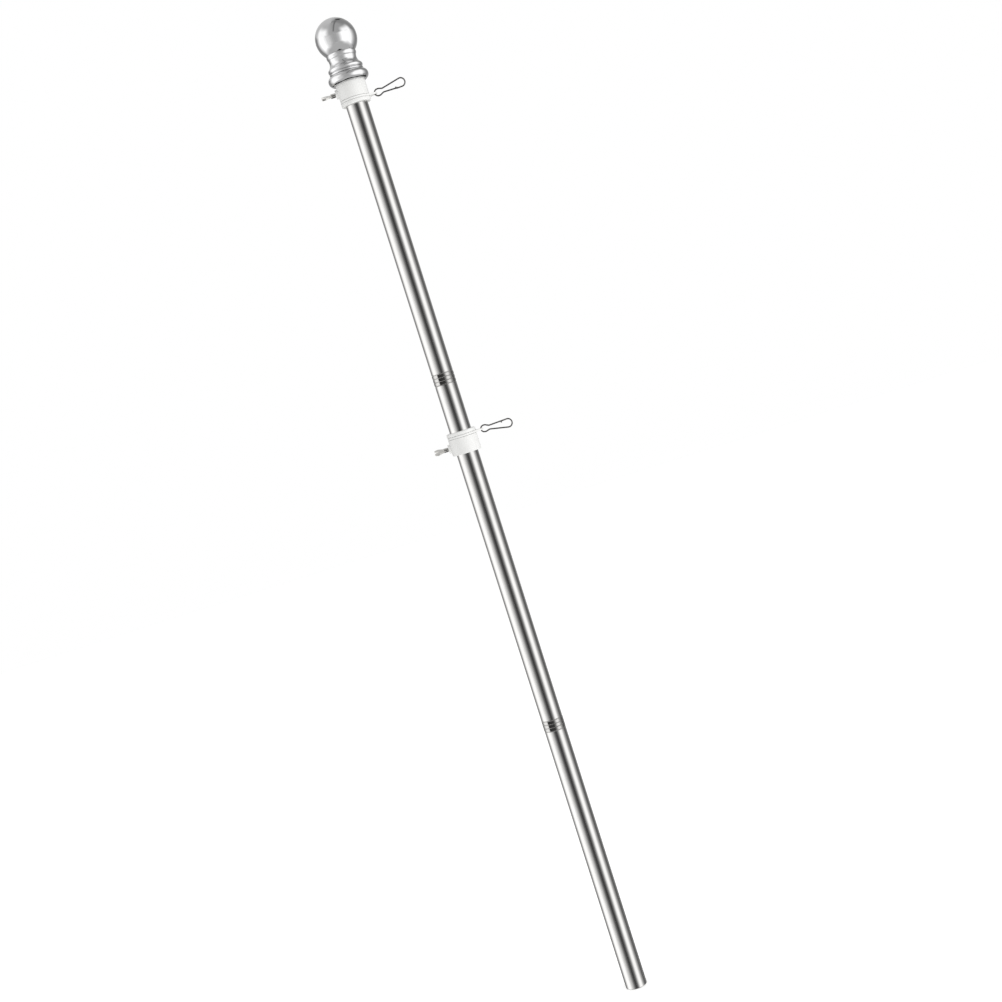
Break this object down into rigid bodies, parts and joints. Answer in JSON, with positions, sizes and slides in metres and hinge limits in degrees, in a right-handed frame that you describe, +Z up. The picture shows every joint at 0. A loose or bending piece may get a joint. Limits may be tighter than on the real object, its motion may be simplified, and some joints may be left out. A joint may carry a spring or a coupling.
{
  "type": "house flagpole",
  "caption": "Sectional stainless steel house flagpole with a ball finial and swivel collars whose wire clips hold the flag's edge.",
  "frame": {"origin": "centre of the pole's foot, on its end face", "axes": "+Z up the pole to the ball, +X towards the clips, -X towards the wing screws"},
  "size_m": [0.0962, 0.0472, 1.1701],
  "materials": {
    "polished_tube": "polished and lacquered stainless tube",
    "joint_metal": "turned stainless",
    "joint_plastic": "moulded nylon",
    "finial_plating": "satin chrome plating on moulded plastic",
    "collar_plastic": "moulded white plastic",
    "clip_wire": "bright drawn stainless wire",
    "screw_plating": "zinc plated"
  },
  "bodies": {
    "pole": {"lower_tube": "polished_tube", "middle_tube": "polished_tube", "upper_tube": "polished_tube", "lower_joint_socket": "joint_metal", "lower_joint_stud": "joint_plastic", "upper_joint_socket": "joint_metal", "upper_joint_stud": "joint_plastic", "finial_stud": "joint_plastic", "finial_base": "finial_plating", "finial_bead": "finial_plating", "finial_neck": "finial_plating", "finial_ball": "finial_plating"},
    "upper_collar": {"upper_collar_body": "collar_plastic", "upper_collar_cap": "collar_plastic"},
    "upper_swivel": {"upper_swivel_ring": "collar_plastic"},
    "upper_clip": {"upper_clip_wire": "clip_wire"},
    "upper_screw": {"upper_wing_screw": "screw_plating"},
    "lower_collar": {"lower_collar_body": "collar_plastic", "lower_collar_cap": "collar_plastic"},
    "lower_swivel": {"lower_swivel_ring": "collar_plastic"},
    "lower_clip": {"lower_clip_wire": "clip_wire"},
    "lower_screw": {"lower_wing_screw": "screw_plating"}
  },
  "joints": [
    {"name": "upper_collar_slide", "type": "slide", "parent": "pole", "child": "upper_collar", "axis": [0, 0, 1], "range_m": [-0.31, 0]},
    {"name": "upper_swivel_turn", "type": "hinge", "parent": "upper_collar", "child": "upper_swivel", "pos_m": [0, 0, 1.0768], "axis": [0, 0, 1], "continuous": true},
    {"name": "upper_clip_swing", "type": "hinge", "parent": "upper_swivel", "child": "upper_clip", "pos_m": [0.02485, 0, 1.0768], "axis": [0, 1, 0], "range_deg": [-63.5, 91]},
    {"name": "upper_screw_turn", "type": "hinge", "parent": "upper_collar", "child": "upper_screw", "pos_m": [-0.0195, 0, 1.08785], "axis": [1, 0, 0], "range_deg": [0, 270]},
    {"name": "lower_collar_slide", "type": "slide", "parent": "pole", "child": "lower_collar", "axis": [0, 0, 1], "range_m": [-0.318, 0.05]},
    {"name": "lower_swivel_turn", "type": "hinge", "parent": "lower_collar", "child": "lower_swivel", "pos_m": [0, 0, 0.6813], "axis": [0, 0, 1], "continuous": true},
    {"name": "lower_clip_swing", "type": "hinge", "parent": "lower_swivel", "child": "lower_clip", "pos_m": [0.02485, 0, 0.6813], "axis": [0, -1, 0], "range_deg": [-78.5, 91]},
    {"name": "lower_screw_turn", "type": "hinge", "parent": "lower_collar", "child": "lower_screw", "pos_m": [-0.0195, 0, 0.67025], "axis": [1, 0, 0], "range_deg": [0, 270]}
  ]
}
